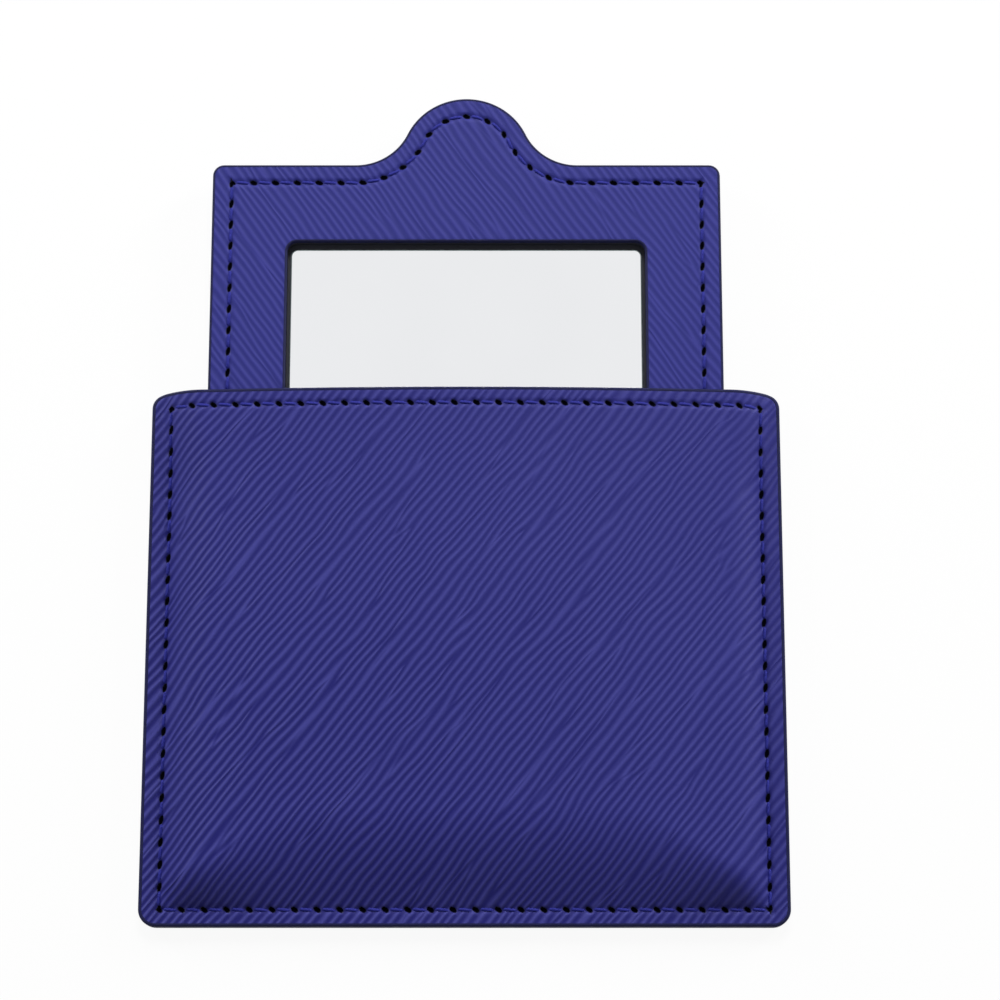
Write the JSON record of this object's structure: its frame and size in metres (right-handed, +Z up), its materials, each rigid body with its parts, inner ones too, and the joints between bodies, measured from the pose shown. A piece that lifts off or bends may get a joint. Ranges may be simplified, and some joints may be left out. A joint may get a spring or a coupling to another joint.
{
  "type": "pocket mirror",
  "caption": "Flat pocket mirror framed in sewn leather, with a round pull tab, that slides in and out of a puffed leather sleeve open at one end.",
  "frame": {"origin": "middle of the sleeve's flat back face, which lies on the table", "axes": "+X across the sleeve, +Y out of the mouth, the way the mirror slides out, +Z up from the back"},
  "size_m": [0.086, 0.115, 0.0067],
  "materials": {
    "sleeve_leather": "embossed wavy grain, satin",
    "insert_leather": "embossed wavy grain, satin",
    "board": "dark fibre board with a painted edge",
    "lining": "dark woven lining",
    "thread": "twisted thread",
    "mirror": "silvered glass",
    "tape": "double-sided tape"
  },
  "bodies": {
    "sleeve": {"sleeve_back_leather": "sleeve_leather", "sleeve_back_stiffener": "board", "sleeve_back_lining": "lining", "seam_bobbin_thread": "thread", "back_mouth_thread": "thread", "sleeve_front_lining": "lining", "sleeve_front_stiffener": "board", "sleeve_front_leather": "sleeve_leather", "seam_needle_thread": "thread", "front_mouth_thread": "thread"},
    "insert": {"insert_back_leather": "insert_leather", "insert_back_board": "board", "insert_core_frame": "board", "mirror_glass": "mirror", "insert_front_leather": "insert_leather", "insert_needle_thread": "thread", "insert_bobbin_thread": "thread", "mirror_tape": "tape"}
  },
  "joints": [
    {"name": "insert_slide", "type": "slide", "parent": "sleeve", "child": "insert", "axis": [0, 1, 0], "range_m": [-0.0328, 0.0327]}
  ]
}
